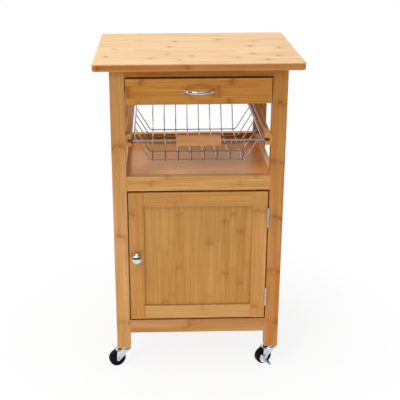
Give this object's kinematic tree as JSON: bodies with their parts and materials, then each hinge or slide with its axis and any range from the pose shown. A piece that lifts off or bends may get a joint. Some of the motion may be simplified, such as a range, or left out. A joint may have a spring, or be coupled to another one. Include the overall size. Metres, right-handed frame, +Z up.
{
  "type": "kitchen cart",
  "caption": "Bamboo kitchen cart on swivel casters with a worktop, a drawer, a sliding wire basket, an open shelf tray and a cabinet with a hinged panel door.",
  "frame": {"origin": "on the floor, at the middle of the bounding box", "axes": "+Z up, +X to the right seen from the front, +Y to the rear"},
  "size_m": [0.48, 0.414, 0.778],
  "materials": {
    "bamboo": "satin lacquer",
    "bamboo_ply": "thin matt lacquer",
    "shelf_veneer": "satin lacquer",
    "chrome": "bright plated",
    "bright_steel": "plated",
    "zinc": "bright zinc plate",
    "black_plastic": "moulded",
    "wheel_rubber": "moulded"
  },
  "bodies": {
    "frame": {"back_panel": "bamboo_ply", "basket_rail_left": "bamboo", "basket_rail_right": "bamboo", "bottom_front_rail": "bamboo", "bottom_rear_rail": "bamboo", "cabinet_floor": "bamboo_ply", "caster_stems": "zinc", "catch_magnet": "black_plastic", "drawer_runners": "bamboo", "frame_dowels": "bamboo", "frame_screws": "bright_steel", "front_top_rail": "bamboo", "hinge_leaves_leg": "bright_steel", "hinge_pins": "bright_steel", "leg_front_left": "bamboo", "leg_front_right": "bamboo", "leg_rear_left": "bamboo", "leg_rear_right": "bamboo", "rear_top_rail": "bamboo", "shelf_board": "shelf_veneer", "shelf_front_rail": "bamboo", "shelf_rear_rail": "bamboo", "shelf_side_rail_left": "bamboo", "shelf_side_rail_right": "bamboo", "side_aprons": "bamboo", "side_panel_left": "bamboo", "side_panel_right": "bamboo", "worktop": "bamboo"},
    "drawer": {"drawer_back": "bamboo", "drawer_bottom": "bamboo_ply", "drawer_dowels": "bamboo", "drawer_front": "bamboo", "drawer_handle": "chrome", "drawer_side_left": "bamboo", "drawer_side_right": "bamboo", "handle_bolts": "bright_steel"},
    "basket": {"basket_cross_wires": "chrome", "basket_glides": "black_plastic", "basket_grip": "bamboo", "basket_long_wires": "chrome", "basket_rim": "chrome"},
    "door": {"catch_plate": "bright_steel", "door_knob": "chrome", "door_panel": "bamboo", "door_rail_bottom": "bamboo", "door_rail_top": "bamboo", "door_screws": "bright_steel", "door_stile_hinge": "bamboo", "door_stile_knob": "bamboo", "hinge_leaves_door": "bright_steel"},
    "brake_front_right": {"caster_brake_front_right": "zinc"},
    "brake_rear_left": {"caster_brake_rear_left": "zinc"},
    "swivel_front_left": {"caster_fork_front_left": "zinc"},
    "swivel_front_right": {"caster_fork_front_right": "zinc"},
    "swivel_rear_left": {"caster_fork_rear_left": "zinc"},
    "swivel_rear_right": {"caster_fork_rear_right": "zinc"},
    "wheel_front_left": {"caster_wheel_front_left": "wheel_rubber"},
    "wheel_front_right": {"caster_wheel_front_right": "wheel_rubber"},
    "wheel_rear_left": {"caster_wheel_rear_left": "wheel_rubber"},
    "wheel_rear_right": {"caster_wheel_rear_right": "wheel_rubber"}
  },
  "joints": [
    {"name": "drawer_slide", "type": "slide", "parent": "frame", "child": "drawer", "axis": [0, -1, 0], "range_m": [0, 0.22]},
    {"name": "basket_slide", "type": "slide", "parent": "frame", "child": "basket", "axis": [0, -1, 0], "range_m": [0, 0.25]},
    {"name": "door_hinge", "type": "hinge", "parent": "frame", "child": "door", "pos_m": [0.16725, -0.1844, 0.3005], "axis": [0, 0, 1], "range_deg": [0, 175]},
    {"name": "caster_swivel_front_left", "type": "hinge", "parent": "frame", "child": "swivel_front_left", "pos_m": [-0.1855, -0.168, 0.043], "axis": [0, 0, 1], "continuous": true},
    {"name": "wheel_spin_front_left", "type": "hinge", "parent": "swivel_front_left", "child": "wheel_front_left", "pos_m": [-0.20377, -0.17614, 0.021], "axis": [0.4067, -0.9135, 0], "continuous": true},
    {"name": "caster_swivel_front_right", "type": "hinge", "parent": "frame", "child": "swivel_front_right", "pos_m": [0.1855, -0.168, 0.043], "axis": [0, 0, 1], "continuous": true},
    {"name": "wheel_spin_front_right", "type": "hinge", "parent": "swivel_front_right", "child": "wheel_front_right", "pos_m": [0.16723, -0.17614, 0.021], "axis": [0.4067, -0.9135, 0], "continuous": true},
    {"name": "brake_lever_front_right", "type": "hinge", "parent": "swivel_front_right", "child": "brake_front_right", "pos_m": [0.16723, -0.17614, 0.021], "axis": [0.4067, -0.9135, 0], "range_deg": [0, 30]},
    {"name": "caster_swivel_rear_left", "type": "hinge", "parent": "frame", "child": "swivel_rear_left", "pos_m": [-0.1855, 0.182, 0.043], "axis": [0, 0, 1], "continuous": true},
    {"name": "wheel_spin_rear_left", "type": "hinge", "parent": "swivel_rear_left", "child": "wheel_rear_left", "pos_m": [-0.19668, 0.16542, 0.021], "axis": [0.829, -0.5592, 0], "continuous": true},
    {"name": "brake_lever_rear_left", "type": "hinge", "parent": "swivel_rear_left", "child": "brake_rear_left", "pos_m": [-0.19668, 0.16542, 0.021], "axis": [0.829, -0.5592, 0], "range_deg": [0, 30]},
    {"name": "caster_swivel_rear_right", "type": "hinge", "parent": "frame", "child": "swivel_rear_right", "pos_m": [0.1855, 0.182, 0.043], "axis": [0, 0, 1], "continuous": true},
    {"name": "wheel_spin_rear_right", "type": "hinge", "parent": "swivel_rear_right", "child": "wheel_rear_right", "pos_m": [0.17432, 0.16542, 0.021], "axis": [0.829, -0.5592, 0], "continuous": true}
  ]
}
